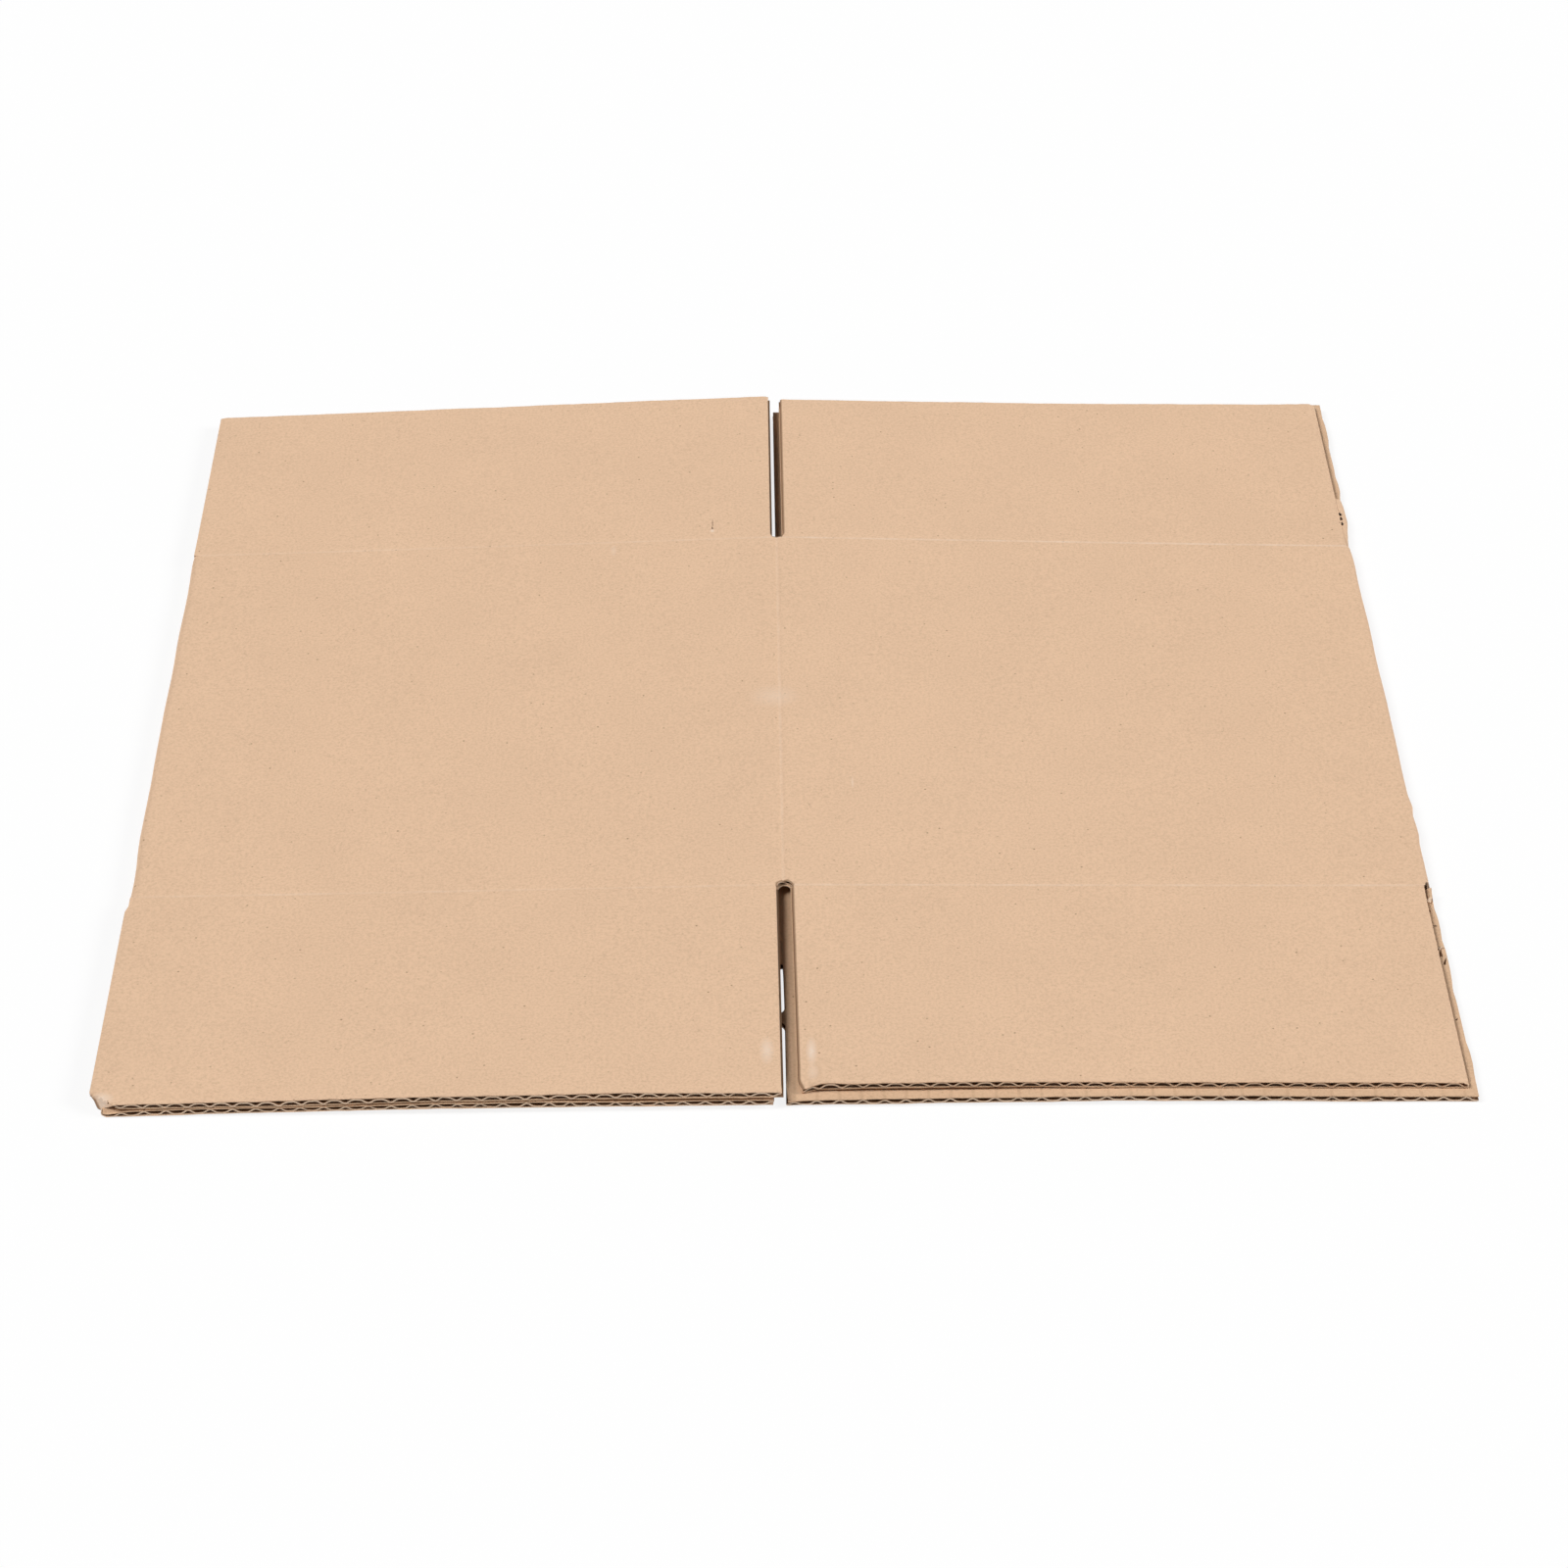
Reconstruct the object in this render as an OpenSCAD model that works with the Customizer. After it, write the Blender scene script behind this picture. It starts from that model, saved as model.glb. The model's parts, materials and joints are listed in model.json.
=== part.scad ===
// Regular slotted carton of single-wall corrugated board, glued, folded flat and lying on its back panels.
// X runs along the folded width, Y from the front flaps to the back flaps, Z up from the floor.
// Sections are drawn in X and Z and run along Y, because the flutes do.

/* [Carton] */
// Distance from the middle of the flat carton to each side fold
half_w = 200; // [120:1:400]
// Height of the panels, from flap score to flap score
panel_h = 200; // [120:1:500]
// Depth of every flap
flap_d = 100; // [50:1:240]
// How much shorter the front right top flap is than the others
front_right_short = 4; // [0:0.5:20]
// How far the middle score of the top layer lies right of the middle
score_x = 1.2; // [-5:0.1:5]

/* [Board] */
// Thickness of the board
board_t = 2.2; // [1.8:0.1:5]
// Thickness of each flat liner
liner_t = 0.3; // [0.2:0.05:0.5]
// Thickness of the fluted medium
medium_t = 0.3; // [0.2:0.05:0.5]
// Distance from one flute to the next
flute_pitch = 6.45; // [5:0.05:10]
// Width of a flute's broad crest, glued to the outer liner
outer_flat = 2; // [1:0.1:3]
// Width of a flute's narrow root, glued to the inner liner
inner_flat = 0.8; // [0.5:0.1:1.5]
// Solid, crushed board left along a cut edge or a score
edge_w = 0.6; // [0.3:0.1:4]

/* [Folds and scores] */
// Gap between the layers at a side fold
fold_gap = 0.4; // [0.3:0.1:2]
// Gap at the score between a top panel and its flap
score_gap = 0.6; // [0.4:0.1:2]
// Depth of a pressed score line in a liner
score_depth = 0.2; // [0.1:0.05:0.25]
// Depth of the middle score, where the flutes are crushed too
middle_score_depth = 0.5; // [0.1:0.1:1]

/* [Slots] */
// Width of the slots between flaps
slot_w = 5.3; // [3:0.1:12]
// Setback of the left top flaps from the side fold
left_top_inset = 0.3; // [0.1:0.1:6]
// Setback of the left bottom flaps, where the left slots lie
left_bottom_inset = 4; // [0.1:0.1:6]
// Setback of the right top flaps, where the right slots lie
right_top_inset = 1.8; // [0.1:0.1:6]
// Setback of the right bottom flaps from the side fold
right_bottom_inset = 0.3; // [0.1:0.1:6]

/* [Glued seam] */
// Edge of the left bottom panel, left of the middle
seam_left = 2.7; // [1:0.1:10]
// Edge of the right bottom panel, right of the middle
seam_right = 0.9; // [0.5:0.1:10]
// Width of the glue tab beyond its panel
tab_w = 32; // [20:1:50]
// Width over which the tab is folded back onto its own panel
tab_root = 4; // [2:0.5:8]
// Length of the tab past the front flap score
tab_reach = 34; // [5:1:45]
// Setback of the tab's back end from the back flap score
tab_inset = 4; // [1:1:20]
// Slit that frees the tab's front end from the flap beside it
tab_slit = 0.6; // [0.3:0.1:3]
// Gap between the tab's free edge and the panel over it
tab_clear = 1.5; // [0.4:0.1:6]

/* [Hidden] */
$fn = 48;
kraft = "#DFBD9E";
half_h = panel_h / 2;
flap_end = half_h + flap_d;
panel_end = half_h - score_gap / 2;
flap_start = half_h + score_gap / 2;
fold_r = board_t + fold_gap / 2;
top_z = board_t + fold_gap;
left_len = half_w + score_x;
right_len = half_w - score_x;
left_seam_end = half_w - seam_left;
right_seam_end = half_w - seam_right;
tab_free_end = half_w + seam_right - tab_w;
left_slope = (board_t - fold_gap + tab_clear) / (tab_free_end - fold_r);
crown = left_slope * (left_len - fold_r);
right_slope = crown / (right_len - fold_r);
half_pitch = flute_pitch / 2;
channel_h = board_t - 2 * liner_t - medium_t;
all_z = top_z + crown + 2 * board_t;

// Runs an XZ section along Y
module along_y(y0, y1) {
  translate([0, y1, 0]) rotate([90, 0, 0]) linear_extrude(y1 - y0) children();
}

// Each side is drawn inwards from its own fold
module left_side() {
  translate([-half_w, 0, 0]) children();
}

module right_side() {
  translate([half_w, 0, 0]) mirror([1, 0, 0]) children();
}

// A point u from the fold, in a layer that climbs towards the middle
function climbing(u, z, slope) = [u, z + slope * (u - fold_r)];

// Air channel between the medium and one liner: broad at that liner, narrow at the other
module channel(u, z_liner, z_medium, slope, liner_flat, medium_flat) {
  broad = (flute_pitch - liner_flat) / 2;
  narrow = medium_flat / 2;
  polygon([
    climbing(u - broad, z_liner, slope),
    climbing(u + broad, z_liner, slope),
    climbing(u + narrow, z_medium, slope),
    climbing(u - narrow, z_medium, slope)
  ]);
}

// Section of the board: two liners and the fluted medium between them.
// The outer liner is the upper one if outer_up.
module board(u0, u1, z0, slope = 0, outer_up = false) {
  reach = flute_pitch / 2 + edge_w;
  first = ceil((u0 + reach) / half_pitch);
  last = floor((u1 - reach) / half_pitch);
  z1 = z0 + board_t;
  low_z = z0 + liner_t;
  high_z = z1 - liner_t;
  low_flat = outer_up ? inner_flat : outer_flat;
  high_flat = outer_up ? outer_flat : inner_flat;
  difference() {
    polygon([
      climbing(u0, z0, slope),
      climbing(u1, z0, slope),
      climbing(u1, z1, slope),
      climbing(u0, z1, slope)
    ]);
    for (k = [first : last])
      if (k % 2 == 0) channel(k * half_pitch, high_z, high_z - channel_h, slope, high_flat, low_flat);
      else channel(k * half_pitch, low_z, low_z + channel_h, slope, low_flat, high_flat);
  }
}

// Section of a side fold, where the crushed board turns back over itself
module side_fold() {
  translate([fold_r, fold_r]) difference() {
    circle(fold_r);
    circle(fold_gap / 2);
    translate([0, -2 * fold_r]) square(4 * fold_r);
  }
}

// Four panels: two on the floor, the folds, and two over them that meet at the middle score
module panels() {
  along_y(-panel_end, panel_end) {
    left_side() {
      side_fold();
      board(fold_r, left_seam_end, 0);
      board(fold_r, left_len, top_z, left_slope, outer_up = true);
    }
    right_side() {
      side_fold();
      board(fold_r, right_seam_end, 0);
      board(fold_r, right_len, top_z, right_slope, outer_up = true);
    }
  }
}

// Bottom flaps at one end, which the top flaps lie on
module bottom_flaps(y0, y1) {
  along_y(y0, y1) {
    left_side() board(left_bottom_inset, left_seam_end, 0);
    right_side() board(right_bottom_inset, right_seam_end, 0);
  }
}

// Glue tab of the right bottom panel, on the inner face of the left one
module glue_tab() {
  along_y(-panel_end, half_h - tab_inset)
    right_side() board(right_seam_end - tab_root, right_seam_end + tab_w, board_t);
  along_y(-half_h - tab_reach, -panel_end)
    right_side() board(right_seam_end + tab_slit, right_seam_end + tab_w, board_t);
}

// Round end of the slot between two top flaps
module slot_end(y) {
  translate([score_x, y, 2 * board_t + tab_clear / 2]) cylinder(d = slot_w, h = all_z);
}

// Round end of the slot in one layer at a side fold
module side_slot_end(inset, z) {
  for (y = [-half_h, half_h])
    translate([inset - slot_w / 2, y, z]) cylinder(d = slot_w, h = all_z);
}

module side_slot_ends() {
  left_side() {
    side_slot_end(left_top_inset, fold_r);
    side_slot_end(left_bottom_inset, fold_r - all_z);
  }
  right_side() {
    side_slot_end(right_top_inset, fold_r);
    side_slot_end(right_bottom_inset, fold_r - all_z);
  }
}

// Square bar whose lower or upper edge presses a score line
module score_bar(length, depth) {
  rotate([45, 0, 0]) cube([length, depth * sqrt(2), depth * sqrt(2)], center = true);
}

module carton() {
  color(kraft) difference() {
    union() {
      panels();
      bottom_flaps(-flap_end, -panel_end);
      bottom_flaps(panel_end, flap_end);
      glue_tab();
    }
    slot_end(-half_h);
    slot_end(half_h);
    side_slot_ends();
    for (y = [-half_h, half_h]) translate([0, y, 0]) score_bar(2 * half_w, score_depth);
    translate([score_x, 0, top_z + crown + board_t]) rotate(90) score_bar(panel_h, middle_score_depth);
  }
}

module back_left_flap() {
  color(kraft) difference() {
    along_y(flap_start, flap_end)
      left_side() board(left_top_inset, left_len - slot_w / 2, top_z, left_slope, outer_up = true);
    side_slot_ends();
  }
}

module right_top_flap(end) {
  color(kraft) difference() {
    along_y(flap_start, end)
      right_side() board(right_top_inset, right_len - slot_w / 2, top_z, right_slope, outer_up = true);
    side_slot_ends();
  }
}

module front_left_flap() {
  mirror([0, 1, 0]) back_left_flap();
}

module back_right_flap() {
  right_top_flap(flap_end);
}

module front_right_flap() {
  mirror([0, 1, 0]) right_top_flap(flap_end - front_right_short);
}

carton();
front_left_flap();
front_right_flap();
back_left_flap();
back_right_flap();
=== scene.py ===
import json
import math

import bpy
import numpy as np
from mathutils import Matrix, Vector


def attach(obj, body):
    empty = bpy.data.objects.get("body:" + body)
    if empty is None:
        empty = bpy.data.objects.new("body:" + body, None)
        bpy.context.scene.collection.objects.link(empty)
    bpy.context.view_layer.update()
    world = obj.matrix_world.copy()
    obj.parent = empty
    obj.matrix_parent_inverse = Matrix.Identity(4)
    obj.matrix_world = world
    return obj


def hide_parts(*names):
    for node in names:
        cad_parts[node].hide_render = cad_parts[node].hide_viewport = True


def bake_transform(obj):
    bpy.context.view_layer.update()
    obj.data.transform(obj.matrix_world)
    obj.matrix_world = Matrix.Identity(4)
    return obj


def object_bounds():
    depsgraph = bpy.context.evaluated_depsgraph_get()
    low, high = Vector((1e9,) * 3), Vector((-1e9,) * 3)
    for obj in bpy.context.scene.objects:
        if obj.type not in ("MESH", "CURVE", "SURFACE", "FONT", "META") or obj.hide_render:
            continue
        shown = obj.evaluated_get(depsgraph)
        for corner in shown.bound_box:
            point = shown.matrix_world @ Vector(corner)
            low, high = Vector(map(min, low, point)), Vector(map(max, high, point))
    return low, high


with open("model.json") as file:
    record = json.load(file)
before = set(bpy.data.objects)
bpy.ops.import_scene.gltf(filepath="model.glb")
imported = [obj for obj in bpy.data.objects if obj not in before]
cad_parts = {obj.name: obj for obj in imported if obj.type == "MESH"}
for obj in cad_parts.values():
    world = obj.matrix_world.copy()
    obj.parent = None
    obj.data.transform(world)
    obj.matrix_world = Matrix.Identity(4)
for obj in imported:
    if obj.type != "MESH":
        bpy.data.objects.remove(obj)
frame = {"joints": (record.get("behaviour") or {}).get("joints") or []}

bl_info = {
    "name": "Flattened Slotted Carton",
    "version": (1, 0, 0),
    "blender": (4, 5, 0),
    "location": "View3D > Sidebar > Carton",
    "description": "Corrugated carton folded flat, with worn cut edges and flaps that bend at their scores",
    "category": "Add Mesh",
}

MM = 0.001
CAD_LOW, CAD_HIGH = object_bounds()
JOINTS = {joint["child"]: joint for joint in frame["joints"]}
REST_PLACE = "rest_place"
# Attribute for dark rims painted on the liners at the slots and at the bumped corner: painted shade in the
# slots and under the corner, and in part a real line pressed by the slotting blade
KNIFE_LINE_AND_SHADE = "knife_line_and_painted_shade"


class CartonSizes(bpy.types.PropertyGroup):
    """Sizes of the carton and of its board."""

    half_width: bpy.props.FloatProperty(
        name="Half Width", description="Middle of the flat carton to a side fold",
        default=CAD_HIGH.x, unit="LENGTH")
    score: bpy.props.FloatProperty(
        name="Score", description="Middle of the carton to a flap score",
        default=abs(JOINTS["back_left_flap"]["pos_m"][1]), unit="LENGTH")
    flap_end: bpy.props.FloatProperty(
        name="Flap End", description="Middle of the carton to the cut edge of a flap",
        default=CAD_HIGH.y, unit="LENGTH")
    middle: bpy.props.FloatProperty(
        name="Middle Score", description="How far the middle score lies right of the middle",
        default=1.2 * MM, unit="LENGTH")
    board: bpy.props.FloatProperty(
        name="Board", description="Thickness of the board", default=2.2 * MM, unit="LENGTH")
    liner: bpy.props.FloatProperty(
        name="Liner", description="Thickness of a liner", default=0.3 * MM, unit="LENGTH")
    medium: bpy.props.FloatProperty(
        name="Medium", description="Thickness of the fluted medium, frayed at its cut edges",
        default=0.48 * MM, unit="LENGTH")
    pitch: bpy.props.FloatProperty(
        name="Flute Pitch", description="One flute to the next", default=6.45 * MM, unit="LENGTH")
    fold_radius: bpy.props.FloatProperty(
        name="Fold Radius", description="Outside radius of a side fold", default=2.4 * MM, unit="LENGTH")
    slot: bpy.props.FloatProperty(
        name="Slot", description="Width of the slots between flaps", default=5.3 * MM, unit="LENGTH")
    ledge: bpy.props.FloatProperty(
        name="Ledge", description="How far the inner liner sticks out of the board at a slot",
        default=0.5 * MM, unit="LENGTH")
    seam_left: bpy.props.FloatProperty(
        name="Left Seam", description="Middle to the edge of the left bottom panel",
        default=2.7 * MM, unit="LENGTH")
    seam_right: bpy.props.FloatProperty(
        name="Right Seam", description="Middle to the edge of the right bottom panel",
        default=0.9 * MM, unit="LENGTH")
    tab_width: bpy.props.FloatProperty(
        name="Tab Width", description="Width of the glue tab", default=32 * MM, unit="LENGTH")
    tab_reach: bpy.props.FloatProperty(
        name="Tab Reach", description="Length of the glue tab past the front score",
        default=34 * MM, unit="LENGTH")


class CartonLie(bpy.types.PropertyGroup):
    """Heights of the outer face over the floor as the carton lies."""

    ridge_back: bpy.props.FloatProperty(
        name="Ridge Back", description="Middle score at the back flap score",
        default=9.0 * MM, unit="LENGTH")
    ridge_front: bpy.props.FloatProperty(
        name="Ridge Front", description="Middle score at the front flap score",
        default=7.3 * MM, unit="LENGTH")
    bow: bpy.props.FloatProperty(
        name="Bow", description="How far the back flap score bows back at its middle",
        default=2.3 * MM, unit="LENGTH")
    sag: bpy.props.FloatProperty(
        name="Sag", description="Power of the panels' hollow from fold to ridge", default=1.15)


class CartonFinish(bpy.types.PropertyGroup):
    """Colours of the papers and of the floor, as sRGB hex values."""

    outer: bpy.props.StringProperty(
        name="Outer Liner", description="Kraft liner on the outside", default="#E3C0A0")
    inner: bpy.props.StringProperty(
        name="Inner Liner", description="Kraft liner on the inside", default="#D8B594")
    # The medium's colour is darkened past its own kraft tone, as painted shade for the flute voids between
    # the liners
    medium: bpy.props.StringProperty(
        name="Medium", description="Fluted paper between the liners", default="#6E4D33")
    cut: bpy.props.StringProperty(
        name="Cut Fibres", description="Pale cut edges of the papers", default="#E2C7AD")
    # The fibre colour also paints the dark rims at the slots and the bumped corner, which are painted shade
    # there
    fibre: bpy.props.StringProperty(
        name="Fibres", description="Dark fibres and flecks in the paper", default="#7C5B40")
    scuff: bpy.props.StringProperty(
        name="Scuffs", description="Rubbed places and torn fibres", default="#F0DFCF")
    floor: bpy.props.StringProperty(
        name="Floor", description="Studio floor", default="#FAFAFA")


def settings():
    scene = bpy.context.scene
    return scene.carton_sizes, scene.carton_lie, scene.carton_finish


# Small helpers

# How many random values a ripple is drawn from, and where among them the 0 of its line lies
RIPPLE_COUNT = 997
RIPPLE_START = 331.7
# Edges that turn less than this are shaded smooth
SMOOTH_BELOW = math.radians(40)


def smooth(t):
    t = np.clip(t, 0, 1)
    return t * t * (3 - 2 * t)


def near(distance, reach):
    """1 at distance 0, falling smoothly to 0 at reach."""
    return smooth(1 - np.abs(distance) / reach)


def ripple(along, spacing, amount, seed):
    """Smooth seeded unevenness along a line, with a turn about every spacing."""
    values = np.random.default_rng(seed).uniform(-1, 1, RIPPLE_COUNT)
    place = along / spacing + RIPPLE_START
    low = np.floor(place).astype(int)
    step = smooth(place - low)
    return amount * (values[low % RIPPLE_COUNT] * (1 - step) + values[(low + 1) % RIPPLE_COUNT] * step)


def get_points(piece):
    points = np.empty(len(piece.data.vertices) * 3)
    piece.data.vertices.foreach_get("co", points)
    return points.reshape(-1, 3)


def set_points(piece, points):
    piece.data.vertices.foreach_set("co", points.ravel())
    piece.data.update()


def only(piece):
    bpy.ops.object.select_all(action="DESELECT")
    piece.select_set(True)
    bpy.context.view_layer.objects.active = piece


def apply_modifier(piece, kind, **values):
    only(piece)
    modifier = piece.modifiers.new(kind.title(), kind)
    for name, value in values.items():
        setattr(modifier, name, value)
    bpy.ops.object.modifier_apply(modifier=modifier.name)


def join(name, pieces):
    only(pieces[0])
    for piece in pieces:
        piece.select_set(True)
    bpy.ops.object.join()
    pieces[0].name = pieces[0].data.name = name
    return pieces[0]


# Papers and board

# A board is made flat: x runs across the flutes, y along them, and -z is the depth under its outer face.
# It is bent to its place on the carton afterwards.

# Depth of the medium's middle under the liner it is glued to, as a share of its thickness
CREST_DEPTH = 0.4
# Power that makes the flutes broad at the outer liner and narrow at the inner one
FLUTE_POWER = 2.1
# Slots wider than this leave a ledge of the inner liner, and narrower holes go straight through
LEDGED_SLOT = 3 * MM
# How far boards that meet at a score run into each other
OVERLAP = 0.05 * MM
CUTTER_HEIGHT = 20 * MM


def add_paper(name, across, along, columns, rows, x_cuts=(), y_cuts=()):
    """A flat rectangle of paper in columns and rows, divided once more at each given x and y."""
    bpy.ops.object.select_all(action="DESELECT")
    bpy.ops.mesh.primitive_grid_add(x_subdivisions=columns, y_subdivisions=rows, size=1)
    paper = bpy.context.object
    paper.name = name
    width = across[1] - across[0]
    length = along[1] - along[0]
    bpy.ops.object.mode_set(mode="EDIT")
    bpy.ops.transform.resize(value=(width, length, 1), center_override=(0, 0, 0))
    bpy.ops.transform.translate(value=(sum(across) / 2, sum(along) / 2, 0))
    planes = [((x, 0, 0), (1, 0, 0)) for x in x_cuts] + [((0, y, 0), (0, 1, 0)) for y in y_cuts]
    for place, normal in planes:
        bpy.ops.mesh.select_all(action="SELECT")
        bpy.ops.mesh.bisect(plane_co=place, plane_no=normal)
    bpy.ops.object.mode_set(mode="OBJECT")
    return paper


def flute_depth(x):
    """Depth of the medium under the outer face: crests at the outer liner, roots at the inner."""
    sizes, _, _ = settings()
    crest = sizes.liner + CREST_DEPTH * sizes.medium
    root = sizes.board - crest
    return crest + (root - crest) * (np.sin(np.pi * x / sizes.pitch) ** 2) ** FLUTE_POWER


def wear_edge(paper, edge, seed):
    """Lets the paper's cut edge run a little uneven."""
    points = get_points(paper)
    x = points[:, 0].copy()
    worn = near(points[:, 1] - edge, 6 * MM)
    points[:, 1] += worn * (ripple(x, 2.1 * MM, 0.12 * MM, seed) + ripple(x, 17 * MM, 0.15 * MM, seed + 1))
    points[:, 0] += worn * ripple(x, 8 * MM, 0.4 * MM, seed + 2)
    set_points(paper, points)


def make_board(name, across, along, rows, seed, x_cuts=(), y_cuts=(), worn=(), holes=(), ledges=(0, 0),
               knife_line_and_shade=None, tears=(), flute_columns=10, flute_rows=5):
    """Outer liner, fluted medium and inner liner over the same rectangle, still flat.

    The inner liner sticks out by the ledges on the left and right, and is torn open at the tears.
    The given function of x, y and depth says how dark the liners are painted along slot rims: painted shade,
    and in part a real line pressed by the slotting blade.
    The medium has flute_columns for each flute, fewer where it is hidden, and at most flute_rows.
    """
    sizes, _, _ = settings()
    flutes = max(1, round((across[1] - across[0]) / sizes.pitch))
    papers = []
    for kind in ("outer", "medium", "inner"):
        fluted = kind == "medium"
        inner = kind == "inner"
        columns = (flute_columns if fluted else 2) * flutes
        reach = (across[0] - ledges[0], across[1] + ledges[1]) if inner else across
        paper = add_paper(
            f"{name}_{kind}", reach, along, columns, min(rows, flute_rows) if fluted else rows,
            () if fluted else x_cuts, y_cuts)
        points = get_points(paper)
        if fluted:
            points[:, 2] = -flute_depth(points[:, 0])
        elif inner:
            points[:, 2] = sizes.liner - sizes.board
        set_points(paper, points)
        for number, edge in enumerate(worn):
            wear_edge(paper, edge, seed + 10 * number + 100 * len(papers))
        paper.data.materials.append(bpy.data.materials[f"kraft_{kind}"])
        paper.data.materials.append(bpy.data.materials["cut_fibre"])
        apply_modifier(
            paper, "SOLIDIFY", thickness=sizes.medium if fluted else sizes.liner,
            offset=0 if fluted else -1, material_offset_rim=1 if fluted else 0)
        for hole in holes:
            ledged = inner and hole[3] > LEDGED_SLOT
            cut_hole(paper, *hole, narrower=2 * sizes.ledge if ledged else 0)
        for tear in tears if inner else ():
            cut_hole(paper, *tear)
        papers.append(paper)
    board = join(name, papers)
    if knife_line_and_shade:
        points = get_points(board)
        mark = board.data.attributes.new(KNIFE_LINE_AND_SHADE, "FLOAT", "POINT")
        mark.data.foreach_set("value", knife_line_and_shade(points[:, 0], points[:, 1], -points[:, 2]))
    return board


def cut_hole(paper, x, y, sides, width, length, turn=0.0, narrower=0.0):
    """Cuts an upright hole with that many sides out of a flat paper."""
    width, length = width - narrower, length - narrower
    bpy.ops.object.select_all(action="DESELECT")
    bpy.ops.mesh.primitive_cylinder_add(vertices=sides, radius=0.5, depth=CUTTER_HEIGHT, location=(0, 0, 0))
    cutter = bpy.context.object
    bpy.ops.transform.resize(value=(width, length, 1), center_override=(0, 0, 0))
    bpy.ops.object.transform_apply(scale=True)
    cutter.rotation_euler.z = turn
    cutter.location = (x, y, 0)
    cutter.data.materials.append(bpy.data.materials["cut_fibre"])
    apply_modifier(
        paper, "BOOLEAN", object=cutter, operation="DIFFERENCE", solver="EXACT", material_mode="TRANSFER")
    bpy.data.objects.remove(cutter)


def bend(board, rule):
    """Takes every point of a flat board to its place by rule(x, y, depth)."""
    points = get_points(board)
    set_points(board, np.column_stack(rule(points[:, 0], points[:, 1], -points[:, 2])))


def finish_board(board):
    """Smooths a board and keeps its resting place in it, so that the paper's pattern moves with it."""
    only(board)
    bpy.ops.object.shade_smooth_by_angle(angle=SMOOTH_BELOW)
    points = get_points(board)
    points[:, 1] -= bow(points[:, 0], points[:, 1])
    place = board.data.attributes.new(REST_PLACE, "FLOAT_VECTOR", "POINT")
    place.data.foreach_set("vector", points.ravel())


# The front left corner is bumped: its crease in plan, the way out of the carton across it, and its turn down
CREASE = ((-200 * MM, -195 * MM), (-190 * MM, -201.8 * MM))
CREASE_OUT = Vector((CREASE[1][1] - CREASE[0][1], CREASE[0][0] - CREASE[1][0])).normalized()
CORNER_TURN = math.radians(85)


def past_crease(x, y, back=0.0):
    """How far a point lies beyond the crease, or beyond a line that far behind it."""
    off = (x - CREASE[0][0]) * CREASE_OUT.x + (y - CREASE[0][1]) * CREASE_OUT.y
    return np.maximum(off + back, 0)


def cut_corner(x, y, back):
    """Pushes the corner in to a line that far behind the crease."""
    beyond = past_crease(x, y, back)
    return x - CREASE_OUT.x * beyond, y - CREASE_OUT.y * beyond


def turn_corner(x, y, top, depth, angle):
    """Turns what lies beyond the crease down by an angle, with the board's depth under it."""
    beyond = past_crease(x, y)
    turn = angle * smooth(beyond / (2 * MM))
    moved = beyond * (np.cos(turn) - 1) - depth * np.sin(turn)
    height = top - beyond * np.sin(turn) - depth * np.cos(turn)
    return x + CREASE_OUT.x * moved, y + CREASE_OUT.y * moved, np.maximum(height, 0)


# How the carton lies

# Depth and half width of the pressed line at a flap score
SCORE_DEPTH = 0.12 * MM
SCORE_HALF_WIDTH = 0.8 * MM
# Depth of the middle score, and of the rim that the knife pressed around the end of the front slot
MIDDLE_SCORE_DEPTH = 0.35 * MM
RIM_DEPTH = 0.35 * MM
# How far from the back flap score its bow dies out
BOW_REACH = 90 * MM


def flap_share(y, edge):
    """0 at a flap's score, 1 at its cut edge, and a little more past that."""
    sizes, _, _ = settings()
    return np.clip((np.abs(y) - sizes.score) / (abs(edge) - sizes.score), 0, 1.1)


def score_groove(y):
    """How deep the outer face is pressed at the flap scores."""
    sizes, _, _ = settings()
    return SCORE_DEPTH * np.exp(-((np.abs(y) - sizes.score) / SCORE_HALF_WIDTH) ** 2)


def climb_to_middle(x):
    """0 at the side folds, 1 at the middle score."""
    sizes, _, _ = settings()
    inner = sizes.half_width - sizes.fold_radius
    from_left = (x + inner) / (sizes.middle + inner)
    from_right = (inner - x) / (inner - sizes.middle)
    return np.clip(np.where(x < sizes.middle, from_left, from_right), 0, 1)


def bow(x, y):
    """How far the bow of the back flap score carries a point back."""
    sizes, lie, _ = settings()
    return lie.bow * climb_to_middle(x) * near(y - sizes.score, BOW_REACH)


def top_face(x, y):
    """Height of the outer face of the two top panels, which climb from the folds to the middle score."""
    sizes, lie, _ = settings()
    ridge = lie.ridge_front + (lie.ridge_back - lie.ridge_front) * (y + sizes.score) / (2 * sizes.score)
    low = 2 * sizes.fold_radius
    return low + (ridge - low) * climb_to_middle(x) ** lie.sag


def sleeve_ends():
    """Lengths along the sleeve at which its left fold starts and ends, and then its right fold."""
    sizes, _, _ = settings()
    inner = sizes.half_width - sizes.fold_radius
    turn = math.pi * sizes.fold_radius
    return np.cumsum([inner - sizes.seam_left, turn, 2 * inner, turn])


# Length of the oval that rounds a slot's end, half of which lies in the panels
SLOT_END = 5 * MM
# How far past its score the back slot starts, and how much narrower it is there on each side
SLOT_ROOT = 0.5 * MM
ROOT_NARROWER = 1 * MM
# Middle and width of the front slot as it lies, with its edges pushed together
FRONT_SLOT_X = 1.55 * MM
FRONT_SLOT_WIDTH = 4.8 * MM
# How far the left flaps' inner liner shows beside the outer one in the slots, where its paint is darkened as
# painted shade
LEFT_LEDGE = 0.75 * MM
# Edge of the left bottom flaps, where the left slots were cut
LEFT_SLOT_EDGE = -196 * MM


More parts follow.
